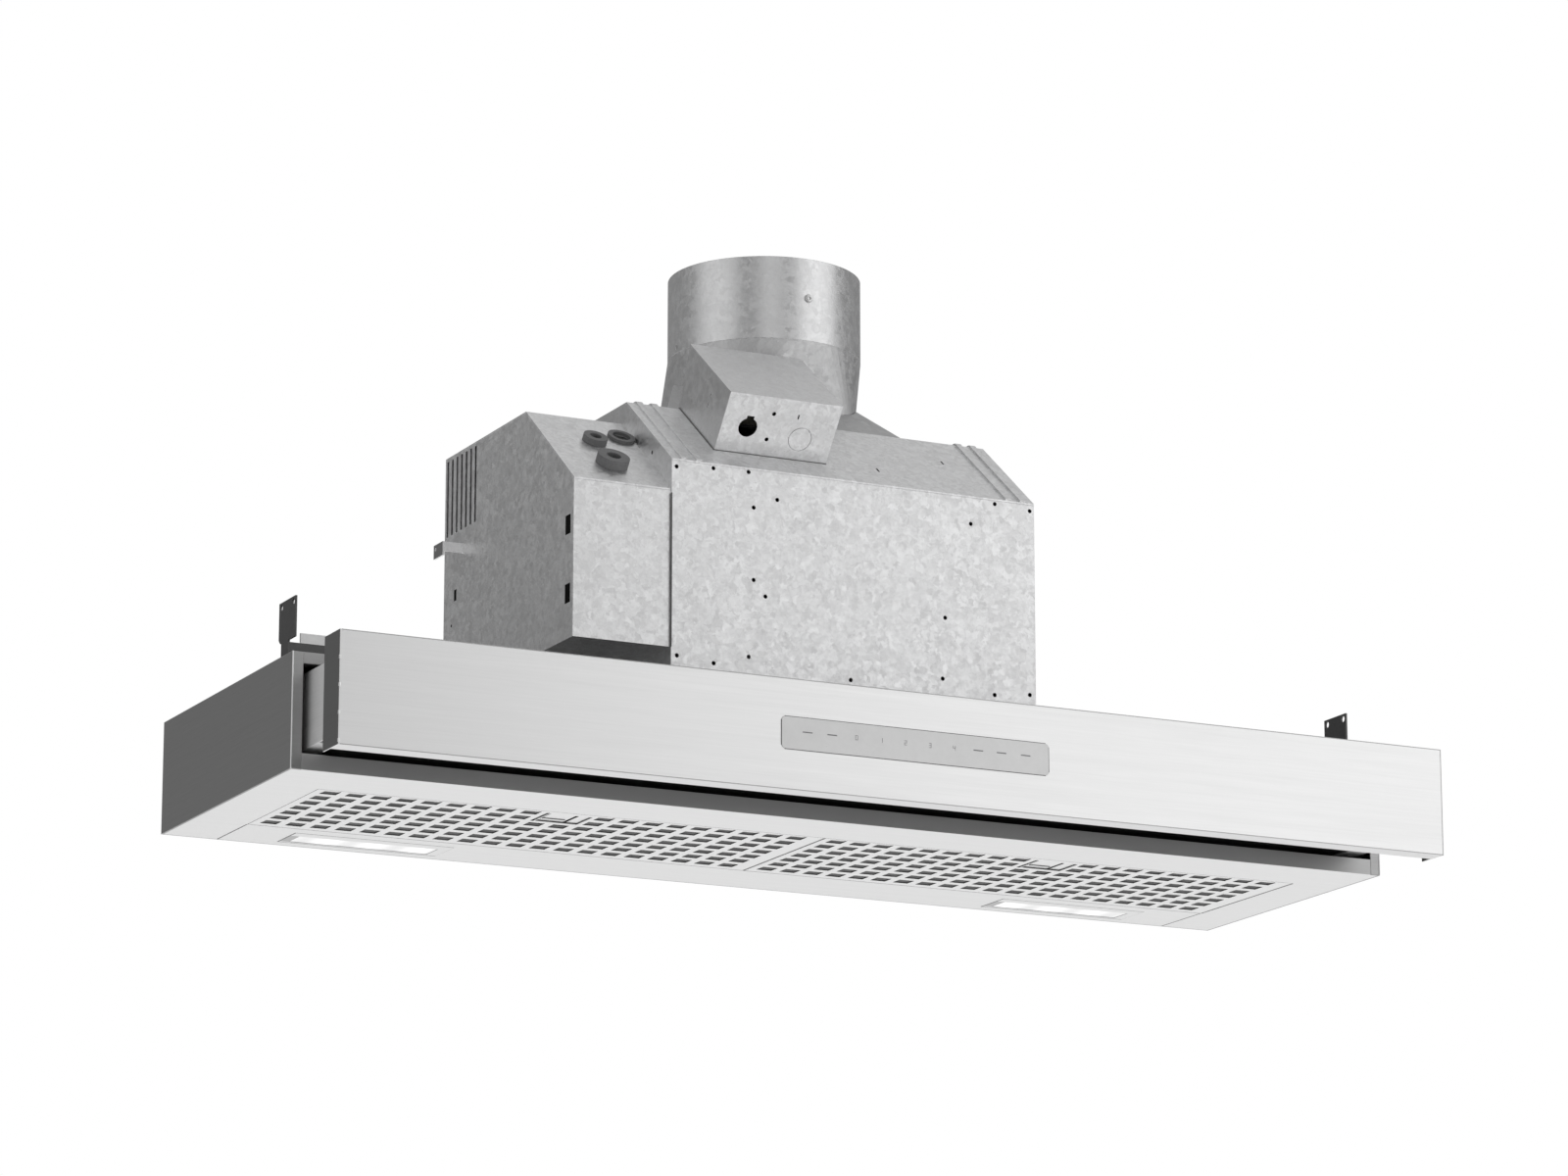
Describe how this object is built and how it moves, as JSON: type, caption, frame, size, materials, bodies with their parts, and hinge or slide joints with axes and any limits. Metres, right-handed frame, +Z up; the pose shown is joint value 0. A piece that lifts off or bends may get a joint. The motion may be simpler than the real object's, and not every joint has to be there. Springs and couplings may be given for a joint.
{
  "type": "pull-out range hood",
  "caption": "Built-in pull-out range hood with slotted filters and lights underneath, a drawer front with a touch strip, a sloped blower housing, a round duct collar and a wiring box.",
  "frame": {"origin": "middle of the lower edge of the body's back, on the wall plane", "axes": "+X to the hood's right seen from the front, +Y into the wall, +Z up"},
  "size_m": [0.912, 0.3579, 0.4664],
  "materials": {
    "body_steel": "brushed stainless steel",
    "front_steel": "fine horizontal brushing",
    "underside_steel": "satin stainless steel",
    "filter_steel": "satin stainless steel",
    "filter_aluminium": "plain aluminium",
    "filter_mesh": "expanded mesh, dark in its depth",
    "zinc_steel": "zinc plated",
    "slide_steel": "zinc plated and polished",
    "galvanised": "galvanised, with fine spangle",
    "collar_steel": "bright galvanised",
    "flap_aluminium": "plain aluminium",
    "dark_paint": "dark grey paint",
    "motor_paint": "dark grey paint",
    "black_plastic": "black, matt",
    "impeller_plastic": "grey, moulded",
    "terminal_plastic": "cream, moulded",
    "circuit_board": "green circuit board",
    "light_board": "white circuit board",
    "capacitor": "pale grey",
    "lens": "frosted, white",
    "touch_plate": "smooth grey",
    "grommet_rubber": "dark grey rubber"
  },
  "bodies": {
    "hood": {"body_sides": "body_steel", "body_top": "body_steel", "body_back": "body_steel", "underside_frame": "underside_steel", "light_strip": "underside_steel", "filter_divider": "underside_steel", "light_housings": "zinc_steel", "light_lenses": "lens", "light_boards": "light_board", "outer_rails": "slide_steel", "rail_hangers": "zinc_steel", "housing_sides": "galvanised", "housing_back": "galvanised", "housing_front_cover": "galvanised", "housing_roof": "galvanised", "duct_saddle": "galvanised", "duct_transition": "galvanised", "duct_collar": "collar_steel", "damper_spindle": "slide_steel", "blower_scroll": "galvanised", "scroll_sides": "galvanised", "inlet_rings": "zinc_steel", "motor": "motor_paint", "motor_bracket": "zinc_steel", "junction_box": "galvanised", "junction_cover": "galvanised", "terminal_block": "terminal_plastic", "wiring_box": "galvanised", "wiring_lid": "galvanised", "wiring_cover": "galvanised", "power_board": "circuit_board", "run_capacitor": "capacitor", "small_grommet": "grommet_rubber", "large_grommet": "grommet_rubber", "cable_ring": "grommet_rubber", "side_bracket": "zinc_steel", "mount_rails": "dark_paint", "backing_strips": "zinc_steel", "cabinet_brackets": "dark_paint"},
    "drawer": {"drawer_panel": "front_steel", "drawer_liner": "zinc_steel", "drawer_walls": "zinc_steel", "visor_plate": "black_plastic", "touch_plate": "touch_plate", "control_board": "circuit_board", "inner_rails": "slide_steel"},
    "left_middle_slide": {"left_middle_rail": "slide_steel"},
    "right_middle_slide": {"right_middle_rail": "slide_steel"},
    "left_filter": {"left_filter_face": "filter_steel", "left_filter_frame": "filter_aluminium", "left_filter_core": "filter_mesh"},
    "right_filter": {"right_filter_face": "filter_steel", "right_filter_frame": "filter_aluminium", "right_filter_core": "filter_mesh"},
    "left_latch": {"left_filter_latch": "filter_steel"},
    "right_latch": {"right_filter_latch": "filter_steel"},
    "fan": {"impeller": "impeller_plastic", "motor_shaft": "slide_steel"},
    "front_damper": {"front_flap": "flap_aluminium"},
    "rear_damper": {"rear_flap": "flap_aluminium"}
  },
  "joints": [
    {"name": "drawer_slide", "type": "slide", "parent": "hood", "child": "drawer", "axis": [0, -1, 0], "range_m": [-0.0615, 0.125]},
    {"name": "left_middle_slide_joint", "type": "slide", "parent": "hood", "child": "left_middle_slide", "axis": [0, -1, 0], "range_m": [-0.0308, 0.0626]},
    {"name": "right_middle_slide_joint", "type": "slide", "parent": "hood", "child": "right_middle_slide", "axis": [0, -1, 0], "range_m": [-0.0308, 0.0626]},
    {"name": "left_filter_hinge", "type": "hinge", "parent": "hood", "child": "left_filter", "pos_m": [-0.206, -0.0685, 0.003], "axis": [1, 0, 0], "range_deg": [0, 80]},
    {"name": "right_filter_hinge", "type": "hinge", "parent": "hood", "child": "right_filter", "pos_m": [0.206, -0.0685, 0.003], "axis": [1, 0, 0], "range_deg": [0, 80]},
    {"name": "left_latch_slide", "type": "slide", "parent": "left_filter", "child": "left_latch", "axis": [0, 1, 0], "range_m": [0, 0.006], "stiffness_N_per_m": 400},
    {"name": "right_latch_slide", "type": "slide", "parent": "right_filter", "child": "right_latch", "axis": [0, 1, 0], "range_m": [0, 0.006], "stiffness_N_per_m": 400},
    {"name": "impeller_spin", "type": "hinge", "parent": "hood", "child": "fan", "pos_m": [-0.007, -0.15, 0.2], "axis": [1, 0, 0], "continuous": true},
    {"name": "front_flap_hinge", "type": "hinge", "parent": "hood", "child": "front_damper", "pos_m": [0, -0.101, 0.4045], "axis": [-1, 0, 0], "range_deg": [0, 75]},
    {"name": "rear_flap_hinge", "type": "hinge", "parent": "hood", "child": "rear_damper", "pos_m": [0, -0.101, 0.4045], "axis": [1, 0, 0], "range_deg": [0, 75]}
  ],
  "couplings": [
    {"joint": "left_middle_slide_joint", "follows": "drawer_slide", "ratio": 0.5},
    {"joint": "right_middle_slide_joint", "follows": "drawer_slide", "ratio": 0.5}
  ]
}
